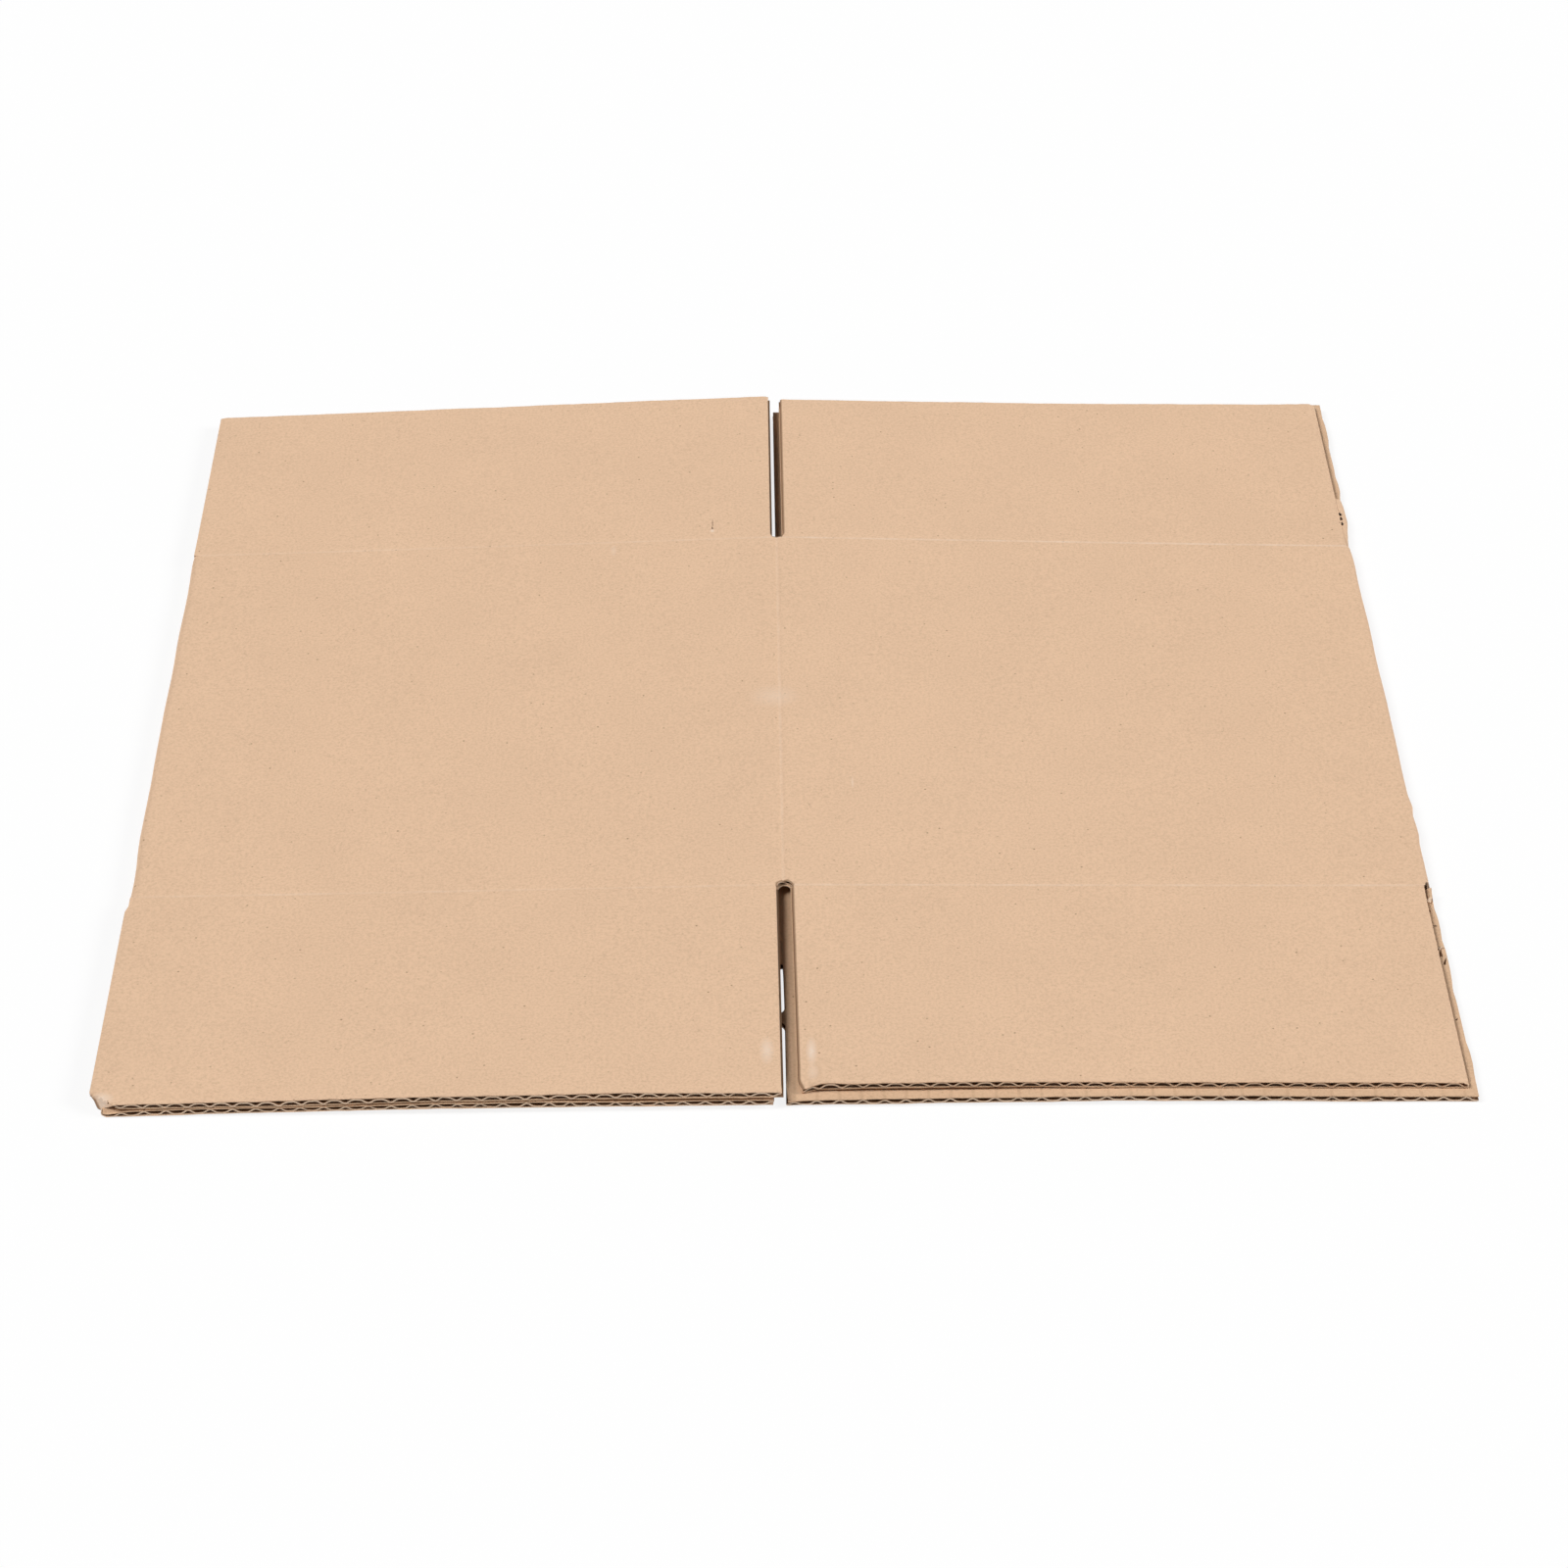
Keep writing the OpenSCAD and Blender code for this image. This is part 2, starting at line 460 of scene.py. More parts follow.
def past_slot_end(x, y):
    """Distance from the round end of the front slot."""
    sizes, _, _ = settings()
    off_x, off_y = x - FRONT_SLOT_X, y + sizes.score
    return np.maximum(np.hypot(off_x, off_y * FRONT_SLOT_WIDTH / SLOT_END) - FRONT_SLOT_WIDTH / 2, 0)


def lay_sleeve(x, y, depth):
    """Lays the sleeve: left bottom panel, left fold, both top panels, right fold and right bottom panel."""
    sizes, _, _ = settings()
    radius = sizes.fold_radius
    inner = sizes.half_width - radius
    ends = sleeve_ends()
    # The left fold is dented at one place. The right one bulges at two and is pinched at the back score.
    wrinkle = ripple(y, 5 * MM, 0.04 * MM, 3) + ripple(y, 23 * MM, 0.17 * MM, 4)
    left_kink = wrinkle - 1.0 * MM * near(y + 90 * MM, 26 * MM)
    right_kink = (wrinkle + 0.6 * MM * (near(y + 55 * MM, 6 * MM) + near(y + 68 * MM, 7 * MM))
                  - 0.5 * MM * near(y - sizes.score, 9 * MM))
    turn_left = np.clip((x - ends[0]) / radius, 0, math.pi)
    turn_right = np.clip((x - ends[2]) / radius, 0, math.pi)
    reach_left = radius - depth + left_kink * np.sin(turn_left)
    reach_right = radius - depth + right_kink * np.sin(turn_right)
    flat = x - ends[1] - inner
    off_x = flat - sizes.middle
    rim = near(past_slot_end(flat, y), 0.9 * MM)
    pressed = MIDDLE_SCORE_DEPTH * near(off_x, 1.2 * MM) + score_groove(y) + RIM_DEPTH * rim
    top = top_face(flat, y) - pressed - depth * (1 - pressed / sizes.board)
    parts = [x < ends[0], x < ends[1], x < ends[2], x < ends[3]]
    out_x = np.select(parts, [
        -sizes.seam_left - x, -inner - reach_left * np.sin(turn_left),
        flat, inner + reach_right * np.sin(turn_right)], inner - (x - ends[3]))
    out_z = np.select(parts, [
        depth, radius - reach_left * np.cos(turn_left),
        top, radius + reach_right * np.cos(turn_right)], depth)
    return out_x, y + bow(flat, y), out_z


class BottomFlap:
    """One bottom flap, which lies outer face down.

    left and right are its edges, and end is -1 at the front and 1 at the back. lift is how far its cut edge
    stands off the floor at the middle, half way and at the fold. skew moves the cut edge along Y at the fold,
    and short is what its depth lacks.
    """

    def __init__(self, name, left, right, end, lift, skew=0.0, short=0.0):
        sizes, _, _ = settings()
        self.name = name
        self.left = left
        self.right = right
        self.end = end
        self.edge = end * (sizes.flap_end - short)
        self.lift = lift
        self.skew = skew

    def rule(self, x, y, depth):
        sizes, _, _ = settings()
        x = -x
        share = flap_share(y, self.edge)
        fold_side = np.clip(np.abs(x) / sizes.half_width, 0, 1)
        lifted = share ** 2 * np.interp(fold_side, (0, 0.5, 1), self.lift)
        squeeze = 1 - 0.12 * near(y - self.edge, 5 * MM) * (1 + ripple(x, 25 * MM, 1, 5))
        slot_edge = near(x - self.left, 2.5 * MM)
        fold_edge = near(x - self.right, 3 * MM)
        if self.name == "front_right":
            # Both corners of its cut edge are crushed
            cut_edge = near(y - self.edge, 6 * MM)
            squeeze -= 0.35 * near(x - self.left, 7 * MM) * cut_edge
            x = x - 0.35 * MM * near(x - self.right, 7 * MM) * cut_edge
            # The edge that shows in the front slot has a bump, and leans left near the score
            x = x - 1.05 * MM * slot_edge * smooth(2.4 - np.abs(y + 160 * MM) / (1.5 * MM))
            x = x - 0.9 * MM * near(x - self.left, 60 * MM) * near(y + sizes.score, 55 * MM)
            # The ragged right edge spreads towards the front, and lifts at the score
            ragged = ripple(y, 5 * MM, 0.45 * MM, 61) + 0.6 * MM * share
            x = x + fold_edge * (ragged + 0.4 * MM * near(y + 114 * MM, 12 * MM))
            lifted = lifted + 1.5 * MM * fold_edge * near(y + sizes.score, 11 * MM)
        if self.name == "front_left":
            # The bumped corner is crushed and pushed in
            squeeze -= 0.45 * near(x - self.left, 9 * MM) * near(y - self.edge, 9 * MM)
            x, y = cut_corner(x, y, -1.3 * MM)
        if self.name == "back_right":
            # The ragged right edge stands back beside the stub of the fold
            x = x + fold_edge * ripple(y, 7 * MM, 0.4 * MM, 62)
            x = x - 2.6 * MM * near(x - self.right, 20 * MM) * smooth((134 * MM - y) / (18 * MM))
        skew = self.skew * share * fold_side
        return x, y + skew, lifted + depth * squeeze


class TopFlap:
    """One top flap, with side -1 on the left and 1 on the right, and end -1 at the front and 1 at the back.

    outside and slot_gap are its setbacks from the side fold and from the middle score. spread moves its tip
    at the slot away from the middle. heights are those of its cut edge, in mm, at even places from the fold
    to the slot. skew moves the cut edge along Y at the fold, and short is what its depth lacks.
    """

    def __init__(self, name, side, end, outside, slot_gap, spread, heights, skew=0.0, short=0.0):
        sizes, _, _ = settings()
        self.name = name
        self.side = side
        self.end = end
        self.fold_x = side * (sizes.half_width - outside)
        self.slot_x = sizes.middle + side * slot_gap
        self.spread = side * spread
        # The knife of the right slots has crushed the edge beside it
        self.fold_press = (0.8 if side > 0 else 0.3) * MM
        self.heights = [height * MM for height in heights]
        self.edge = end * (sizes.flap_end - short)
        self.skew = skew

    def knife_line_and_shade(self, x, y, depth):
        """Painted dark rims: the slot's outer one on the right flaps, its inner one on the left, and the
        corner's. They are painted shade in the slots and under the bumped corner; the right flaps' one is in
        part a real line pressed by the slotting blade.
        """
        sizes, _, _ = settings()
        outer = depth < sizes.board / 2
        if self.side > 0:
            rim_shades = near(x - self.slot_x, 1.1 * MM) * outer
        else:
            rim_shades = np.where(outer, 0, near(x - self.slot_x, 2.5 * MM))
        # The bumped corner's torn outline is painted dark, as painted shadow of the gap under the turned-down
        # facet
        if self.name == "front_left_flap":
            corner = near(x - self.fold_x, 2 * MM) * smooth(past_crease(x, y) / (0.5 * MM))
            rim_shades = np.maximum(rim_shades, corner)
        return rim_shades

    def rule(self, x, y, depth):
        sizes, _, _ = settings()
        share = flap_share(y, self.edge)
        climb = np.clip((x - self.fold_x) / (self.slot_x - self.fold_x), 0, 1)
        edge = np.interp(climb, np.linspace(0, 1, len(self.heights)), self.heights)
        start = top_face(x, np.full_like(x, self.end * sizes.score))
        height = start + (edge - start) * share
        cut_edge = near(y - self.edge, 5 * MM)
        pressed = (score_groove(y) + 0.3 * MM * near(x - self.slot_x, 0.7 * MM)
                   + self.fold_press * near(x - self.fold_x, 2 * MM) * smooth(share / 0.1)
                   + 0.12 * MM * cut_edge * (1 + ripple(x, 25 * MM, 1, 6)))
        squeeze = 1 - pressed / sizes.board
        out_x = x + self.spread * climb ** 4 * share
        out_y = y + self.skew * share * (1 - climb) + bow(x, y)
        out_z = height - pressed
        if self.end > 0:
            # The back slot is rounded at its root
            root = np.clip(1 - (y - sizes.score - SLOT_ROOT) / (3 * MM), 0, 1)
            out_x = out_x - self.side * ROOT_NARROWER * near(x - self.slot_x, 5 * MM) * root ** 2
        if self.name == "front_right_flap":
            # Its tip at the slot is crushed down, and the board beside the tip is swollen
            tip = near(x - self.slot_x, 7 * MM) * near(y - self.edge, 12 * MM)
            burst = near(x - self.slot_x - 9 * MM, 6 * MM) * near(y - self.edge, 8 * MM)
            out_x = out_x + 1.2 * MM * near(x - self.slot_x, 5 * MM) * near(y - self.edge, 4 * MM)
            out_y = out_y - 0.6 * MM * tip
            out_z = out_z - 1.3 * MM * tip + 0.3 * MM * burst
            squeeze = squeeze - 0.3 * tip + 0.25 * burst
        if self.name == "front_left_flap":
            # Its fold side stands in a little at the score, and the bumped corner is crumpled and turned down
            root = near(x - self.fold_x, 12 * MM) * smooth((y + 108 * MM) / (4 * MM))
            corner = near(x - self.fold_x, 12 * MM) * near(y - self.edge, 9 * MM)
            crumple = ripple(x + 0.6 * y, 1.7 * MM, 0.45 * MM, 81) * corner
            crushed = depth * (squeeze - 0.6 * corner)
            return turn_corner(out_x + 0.9 * MM * root, out_y, out_z + crumple, crushed, CORNER_TURN)
        return out_x, out_y, out_z - depth * squeeze


# Materials

WHITE = (1, 1, 1, 1)
# Share of plain white in the floor that the camera sees. The rest is lit paper, which shows the shadow.
FLOOR_GLOW = 0.85


def linear(hex_colour):
    """Linear RGBA of an sRGB hex colour."""
    parts = [int(hex_colour[i:i + 2], 16) / 255 for i in (1, 3, 5)]
    return [p / 12.92 if p <= 0.04045 else ((p + 0.055) / 1.055) ** 2.4 for p in parts] + [1]


def add_node(tree, kind, inputs=None, **values):
    """Adds a node with its settings, and sets or links its inputs."""
    node = tree.nodes.new(kind)
    for name, value in values.items():
        setattr(node, name, value)
    for name, value in (inputs or {}).items():
        if isinstance(value, bpy.types.NodeSocket):
            tree.links.new(value, node.inputs[name])
        else:
            node.inputs[name].default_value = value
    return node


# Rubbed places on the outer liner: x, y, half width, half length and strength
SCUFFS = (
    (-0.6 * MM, 3.7 * MM, 9 * MM, 7 * MM, 0.45),
    (8.4 * MM, -181 * MM, 1.8 * MM, 7 * MM, 1.1),
    (8.6 * MM, -190.3 * MM, 2 * MM, 4 * MM, 0.5),
    (-4.6 * MM, -181 * MM, 2.4 * MM, 7 * MM, 0.9),
    (-54.9 * MM, 94.6 * MM, 1.2 * MM, 4 * MM, 0.5),
    (23.7 * MM, -45.4 * MM, 0.5 * MM, 3.5 * MM, 0.8),
    (-21 * MM, 105.3 * MM, 1 * MM, 1.2 * MM, 1.4),
    (-196 * MM, -198.5 * MM, 4 * MM, 3 * MM, 1.1),
)


def make_kraft(name, colour, cloudiness, scored=False, knife_lined_and_shaded=False, washboard=0.0):
    """Uncoated kraft paper: matt and warm, cloudy in the sheet, with short dark fibres and a few flecks.

    Real fibres are finer than a pixel, so grain, fibres and flecks are drawn as coarse as they need to show.
    """
    sizes, _, finish = settings()
    material = bpy.data.materials.new(name)
    material.use_nodes = True
    tree = material.node_tree
    tree.nodes.clear()
    place = add_node(tree, "ShaderNodeAttribute", attribute_name=REST_PLACE).outputs["Vector"]
    cloud = add_node(tree, "ShaderNodeTexNoise", {
        "Vector": place, "Scale": 1 / (30 * MM), "Detail": 3.0, "Roughness": 0.6}).outputs["Fac"]
    grain = add_node(tree, "ShaderNodeTexNoise", {
        "Vector": place, "Scale": 1 / (0.9 * MM), "Detail": 2.0, "Roughness": 0.7}).outputs["Fac"]
    fibre = add_node(tree, "ShaderNodeTexNoise", {
        "Vector": place, "Scale": 1 / (2.2 * MM), "Detail": 2.0, "Distortion": 2.5}).outputs["Fac"]
    fibre = add_node(tree, "ShaderNodeMapRange", {
        "Value": fibre, "From Min": 0.58, "From Max": 0.8, "To Min": 0.0, "To Max": 0.2}).outputs["Result"]
    fleck = add_node(tree, "ShaderNodeTexVoronoi", {
        "Vector": place, "Scale": 1 / (3.6 * MM), "Randomness": 1.0})
    chance = add_node(tree, "ShaderNodeSeparateColor", {"Color": fleck.outputs["Color"]}).outputs["Red"]
    depth = add_node(tree, "ShaderNodeMapRange", {
        "Value": chance, "From Min": 0.45, "From Max": 1.0, "To Min": 0.0, "To Max": 0.9}).outputs["Result"]
    fleck = add_node(tree, "ShaderNodeMapRange", {
        "Value": fleck.outputs["Distance"], "From Min": 0.03, "From Max": 0.12,
        "To Min": depth, "To Max": 0.0}).outputs["Result"]
    tone = add_node(tree, "ShaderNodeMapRange", {
        "Value": cloud, "From Min": 0.3, "From Max": 0.7,
        "To Min": 1 - cloudiness, "To Max": 1 + cloudiness}).outputs["Result"]
    speck = add_node(tree, "ShaderNodeMapRange", {
        "Value": grain, "From Min": 0.4, "From Max": 0.75, "To Min": 0.0, "To Max": 0.2}).outputs["Result"]
    paint = add_node(tree, "ShaderNodeVectorMath", {
        0: linear(colour)[:3], "Scale": tone}, operation="SCALE").outputs["Vector"]
    layers = [(speck, finish.fibre), (fibre, finish.fibre), (fleck, finish.fibre)]
    if washboard:
        wave = add_node(tree, "ShaderNodeTexWave", {
            "Vector": place, "Scale": math.pi / 10 / sizes.pitch, "Distortion": 0.4, "Detail": 0.0,
            "Detail Scale": 1.0, "Detail Roughness": 0.5, "Phase Offset": 0.0},
            wave_type="BANDS", bands_direction="X").outputs["Fac"]
        wave = add_node(tree, "ShaderNodeMapRange", {
            "Value": wave, "From Min": 0.9, "From Max": 1.0,
            "To Min": 0.0, "To Max": washboard}).outputs["Result"]
        layers.append((wave, finish.fibre))
    if scored:
        layers += [(amount, finish.scuff) for amount in rubbed_places(tree, place, grain)]
    # Dark rims from the mark attribute, drawn in the fibre colour: painted shade along the slots and the
    # bumped corner, and in part a real line pressed by the slotting blade
    if knife_lined_and_shaded:
        knife_line_and_shade = add_node(tree, "ShaderNodeAttribute", attribute_name=KNIFE_LINE_AND_SHADE).outputs["Fac"]
        knife_line_and_shade = add_node(tree, "ShaderNodeMapRange", {
            "Value": knife_line_and_shade, "From Min": 0.25, "From Max": 0.8,
            "To Min": 0.0, "To Max": 0.8}).outputs["Result"]
        layers.append((knife_line_and_shade, finish.fibre))
    for amount, layer in layers:
        paint = add_node(tree, "ShaderNodeMix", {
            "Factor": amount, 6: paint, 7: linear(layer)}, data_type="RGBA").outputs[2]
    rough = add_node(tree, "ShaderNodeMapRange", {
        "Value": grain, "To Min": 0.82, "To Max": 0.95}).outputs["Result"]
    bump = add_node(tree, "ShaderNodeBump", {
        "Height": grain, "Strength": 0.25, "Distance": 0.06 * MM}).outputs["Normal"]
    shader = add_node(tree, "ShaderNodeBsdfPrincipled", {
        "Base Color": paint, "Roughness": rough, "Normal": bump, "Specular IOR Level": 0.25})
    add_node(tree, "ShaderNodeOutputMaterial", {"Surface": shader.outputs["BSDF"]})


def rubbed_places(tree, place, grain):
    """How strongly the liner is rubbed pale: along its scores, broken up, and at the scuffs."""
    sizes, _, _ = settings()
    axes = add_node(tree, "ShaderNodeSeparateXYZ", {"Vector": place}).outputs
    patchy = add_node(tree, "ShaderNodeTexNoise", {
        "Vector": place, "Scale": 1 / (9 * MM), "Detail": 3.0, "Roughness": 0.7}).outputs["Fac"]
    patchy = add_node(tree, "ShaderNodeMapRange", {
        "Value": patchy, "From Min": 0.42, "From Max": 0.62, "To Min": 0.4}).outputs["Result"]
    amounts = []
    # Each score's axis and place, and how strongly it is rubbed on the left and on the right
    scores = (
        ("Y", sizes.score, 0.16, 0.33),
        ("Y", -sizes.score, 0.16, 0.24),
        ("X", sizes.middle, 0.13, 0.13))
    for axis, line, left, right in scores:
        strength = add_node(tree, "ShaderNodeMapRange", {
            "Value": axes["X"], "From Min": -5 * MM, "From Max": 5 * MM,
            "To Min": left, "To Max": right}).outputs["Result"]
        off = add_node(tree, "ShaderNodeMath", {
            0: axes[axis], 1: line}, operation="SUBTRACT").outputs["Value"]
        off = add_node(tree, "ShaderNodeMath", {0: off}, operation="ABSOLUTE").outputs["Value"]
        band = add_node(tree, "ShaderNodeMapRange", {
            "Value": off, "From Min": 0.25 * MM, "From Max": 0.7 * MM,
            "To Min": strength, "To Max": 0.0}).outputs["Result"]
        band = add_node(tree, "ShaderNodeMath", {0: band, 1: patchy}, operation="MULTIPLY").outputs["Value"]
        amounts.append(band)
    for x, y, half_width, half_length, strength in SCUFFS:
        spot = add_node(tree, "ShaderNodeMapping", {
            "Vector": place, "Location": (-x / half_width, -y / half_length, 0),
            "Scale": (1 / half_width, 1 / half_length, 0)}).outputs["Vector"]
        spot = add_node(tree, "ShaderNodeVectorMath", {0: spot}, operation="LENGTH").outputs["Value"]
        spot = add_node(tree, "ShaderNodeMapRange", {
            "Value": spot, "From Min": 0.1, "From Max": 1.0,
            "To Min": strength, "To Max": 0.0}).outputs["Result"]
        spot = add_node(tree, "ShaderNodeMath", {0: spot, 1: grain}, operation="MULTIPLY").outputs["Value"]
        amounts.append(spot)
    return amounts


def seen_directly(tree):
    """1 for the rays that show the white surroundings, 0 for those that carry light to the carton."""
    path = add_node(tree, "ShaderNodeLightPath").outputs
    return add_node(tree, "ShaderNodeMath", {
        0: path["Is Camera Ray"], 1: path["Is Glossy Ray"]}, operation="MAXIMUM").outputs["Value"]


def make_floor_paint():
    """Matt white studio paper, which the camera sees near white but for the carton's soft shadow."""
    _, _, finish = settings()
    material = bpy.data.materials.new("studio_paper")
    material.use_nodes = True
    tree = material.node_tree
    tree.nodes.clear()
    matt = add_node(tree, "ShaderNodeBsdfDiffuse", {"Color": linear(finish.floor)}).outputs["BSDF"]
    glow = add_node(tree, "ShaderNodeEmission", {"Color": WHITE, "Strength": 1.0}).outputs["Emission"]
    seen = add_node(tree, "ShaderNodeMath", {
        0: seen_directly(tree), 1: FLOOR_GLOW}, operation="MULTIPLY").outputs["Value"]
    mixed = add_node(tree, "ShaderNodeMixShader", {0: seen, 1: matt, 2: glow}).outputs["Shader"]
    add_node(tree, "ShaderNodeOutputMaterial", {"Surface": mixed})
    return material


class CARTON_OT_papers(bpy.types.Operator):
    """Make the papers that the board is built from"""

    bl_idname = "carton.papers"
    bl_label = "Kraft Papers"

    def execute(self, context):
        _, _, finish = settings()
        make_kraft("kraft_outer", finish.outer, 0.018, scored=True, knife_lined_and_shaded=True)
        make_kraft("kraft_inner", finish.inner, 0.05, knife_lined_and_shaded=True, washboard=0.15)
        # The medium's dark colour is in part painted shade for the flute voids
        make_kraft("kraft_medium", finish.medium, 0.12)
        make_kraft("cut_fibre", finish.cut, 0.12)
        return {"FINISHED"}


class CARTON_OT_sleeve(bpy.types.Operator):
    """Make the four panels with their folds, the bottom flaps and the glue tab"""

    bl_idname = "carton.sleeve"
    bl_label = "Panels and Bottom Flaps"

    def execute(self, context):
        pieces = [*self.add_panels(), *self.add_tab(), self.add_ear(), *self.add_shreds()]
        panels = join("carton_board", pieces)
        flaps = join("bottom_flaps_board", self.add_bottom_flaps())
        for board in (panels, flaps):
            finish_board(board)
            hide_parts("carton")
            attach(board, "carton")
        return {"FINISHED"}

    def add_panels(self):
        sizes, _, _ = settings()
        ends = sleeve_ends()
        inner = sizes.half_width - sizes.fold_radius
        middle = ends[1] + inner + sizes.middle
        length = ends[3] + inner - sizes.seam_right
        # The left slots lie under the fold, and the right front one on top of it
        left_slot = (ends[0] + ends[1]) / 2 - 3.2 * MM
        right_slot = ends[2] + 2.1 * MM
        front, back = -sizes.score, sizes.score
        slots = [(x, y, 40, width, SLOT_END) for x, y, width in (
            (left_slot, front, sizes.slot), (left_slot, back, sizes.slot),
            (ends[1] + inner + FRONT_SLOT_X, front, FRONT_SLOT_WIDTH), (right_slot, front, 2.8 * MM))]
        y_cuts = [end * (sizes.score - d * MM) for end in (-1, 1) for d in (0.5, 1.2, 2.5, 3.2, 4, 6)]
        x_cuts = [middle + side * d * MM for side in (-1, 1) for d in (0.5, 1.2, 2, 2.9, 3.8, 4.8)]
        x_cuts.append(middle)
        for start, end in (ends[:2], ends[2:]):
            x_cuts += [start + share * (end - start) for share in (0, 0.15, 0.3, 0.5, 0.7, 0.85, 1)]

        # Dark rim painted around the front slot's end on the outer liner: painted shade, and in part a real
        # line pressed by the slotting blade
        def front_slot_rim_shade(x, y, depth):
            outer = depth < sizes.board / 2
            return near(past_slot_end(x - ends[1] - inner, y), 0.7 * MM) * outer

        # Dark rim painted at the back end of the back slot's root: painted shade
        def back_slot_rim_shade(x, y, depth):
            return near(y - back - SLOT_ROOT, 0.6 * MM)

        panels = make_board(
            "panels", (0, length), (front, back), 40, 11, x_cuts, y_cuts, (), slots,
            knife_line_and_shade=front_slot_rim_shade, flute_columns=4, flute_rows=20)
        reach = sizes.slot / 2 - ROOT_NARROWER
        root = make_board(
            "slot_root", (middle - reach, middle + reach), (back - OVERLAP, back + SLOT_ROOT), 4, 15,
            knife_line_and_shade=back_slot_rim_shade)
        for board in (panels, root):
            bend(board, lay_sleeve)
        return panels, root

    def add_bottom_flaps(self):
        sizes, _, _ = settings()
        flaps = (
            BottomFlap("front_left", LEFT_SLOT_EDGE, -sizes.seam_left, -1,
                       (1.3 * MM, 1.6 * MM, 0), -1 * MM),
            BottomFlap("front_right", sizes.seam_right, sizes.half_width, -1,
                       (0.4 * MM, 1.2 * MM, 0), -0.9 * MM, 0.9 * MM),
            BottomFlap("back_left", LEFT_SLOT_EDGE, -sizes.seam_left, 1,
                       (0, 0, 0), -3.5 * MM),
            BottomFlap("back_right", sizes.seam_right, sizes.half_width + 0.7 * MM, 1,
                       (0.7 * MM, 0.6 * MM, 0.6 * MM), 2 * MM))
        boards = []
        for number, flap in enumerate(flaps):
            edge = flap.edge
            along = sorted((flap.end * (sizes.score - OVERLAP), edge))
            y_cuts = [edge - flap.end * d * MM for d in (0.8, 2, 4, 7)]
            x_cuts = [-flap.left - d * MM for d in (0.8, 1.6, 2.5, 5)]
            x_cuts += [-flap.right + d * MM for d in (0.8, 1.6, 2.5)]
            tears = ()
            if flap.name == "front_right":
                # Closer rows at the score and at the bump, and cracks along the right edge: x, y, sides,
                # width, length and turn
                y_cuts += [-d * MM for d in (103, 106, 109, 112, 115, 156, 157, 158, 160, 162, 163, 164)]
                tears = [(-198.5 * MM, -131.5 * MM, 3, 1.3 * MM, 6 * MM, 0.1),
                         (-199.1 * MM, -135.5 * MM, 3, 0.9 * MM, 6 * MM, 0.24),
                         (-198.9 * MM, -163.5 * MM, 5, 0.8 * MM, 1.3 * MM, 0.5),
                         (-198.6 * MM, -117.5 * MM, 4, 2.2 * MM, 0.8 * MM, 0.2),
                         (-198.3 * MM, -110 * MM, 6, 0.8 * MM, 1.4 * MM, 0)]
            board = make_board(
                f"bottom_{flap.name}", (-flap.right, -flap.left), along, 20, 200 + 30 * number,
                x_cuts, y_cuts, (edge,), tears=tears)
            bend(board, flap.rule)
            boards.append(board)
        return boards

    def add_tab(self):
        sizes, _, _ = settings()
        free = sizes.tab_width - sizes.seam_right
        front = -sizes.score - sizes.tab_reach
        root = -sizes.score + 8 * MM
        back = sizes.score - 4 * MM
        slit = 0.05 * MM
        glued = make_board("tab_glued", (-sizes.seam_right - 3 * MM, free), (root, back), 6, 71)
        bend(glued, lambda x, y, depth: (-x, y, sizes.board + depth))
        reach = make_board(
            "tab_reach", (slit - sizes.seam_right, free), (front, root), 6, 77,
            [d * MM for d in (0.8, 1.6, 2.4, 3.4)], [front + d * MM for d in (1, 3)], (front,))
        bend(reach, lambda x, y, depth: (-x, y, sizes.board * (1 - 0.95 * near(x, 4 * MM)) + depth))
        return glued, reach

    def add_ear(self):
        """The stub of the right fold that the back slot left, bulging past the score, with small cuts."""
        sizes, _, _ = settings()
        root = 198.3 * MM
        ends = (sizes.score + 1 * MM, 133 * MM)
        places = [d * MM for d in (101, 104, 106.5, 112, 119.8, 126, 133)]
        bulges = [d * MM for d in (1.1, 1.1, 1.2, 1.9, 2.7, 2.6, 2.1)]
        length = 8 * MM
        ear = add_paper("ear", (0, length), ends, 12, 16)
        ear.data.materials.append(bpy.data.materials["kraft_outer"])
        ear.data.materials.append(bpy.data.materials["cut_fibre"])
        apply_modifier(ear, "SOLIDIFY", thickness=sizes.liner, offset=-1, material_offset_rim=1)
        for y in (116.2 * MM, 119.6 * MM, 122.6 * MM):
            cut_hole(ear, 0.4 * MM, y, 5, 1.5 * MM, 2.9 * MM)

        def wrap(x, y, depth):
            turn = math.pi * np.clip(x / length, 0, 1)
            bulge = np.interp(y, places, bulges) + ripple(y, 4 * MM, 0.12 * MM, 91)
            return (root + np.maximum(bulge - depth, 0) * np.sin(turn), y,
                    sizes.fold_radius + (sizes.fold_radius - 0.9 * MM - depth) * np.cos(turn))

        bend(ear, wrap)
        return ear

    def add_shreds(self):
        """Tufts of torn liner at the right edge: place, length, width and turn."""
        shreds = []
        for x, y, z, length, width, turn in (
                (198.9 * MM, -105.8 * MM, 3.4 * MM, 2.2 * MM, 1.1 * MM, 1.0),
                (199.2 * MM, -129.2 * MM, 2.5 * MM, 1.6 * MM, 0.7 * MM, 0.4)):
            shred = add_paper("shred", (-length / 2, length / 2), (-width / 2, width / 2), 6, 3)
            shred.data.materials.append(bpy.data.materials["cut_fibre"])
            apply_modifier(shred, "SOLIDIFY", thickness=0.15 * MM, offset=0)

            def lay(along, across, depth):
                narrow = across * (1 - 1.5 * along / length)
                curl = 0.25 * MM * np.sin(5 * along / length) - depth
                return (x + along * math.cos(turn) - narrow * math.sin(turn),
                        y + along * math.sin(turn) + narrow * math.cos(turn), z + curl)

            bend(shred, lay)
            shreds.append(shred)
        return shreds


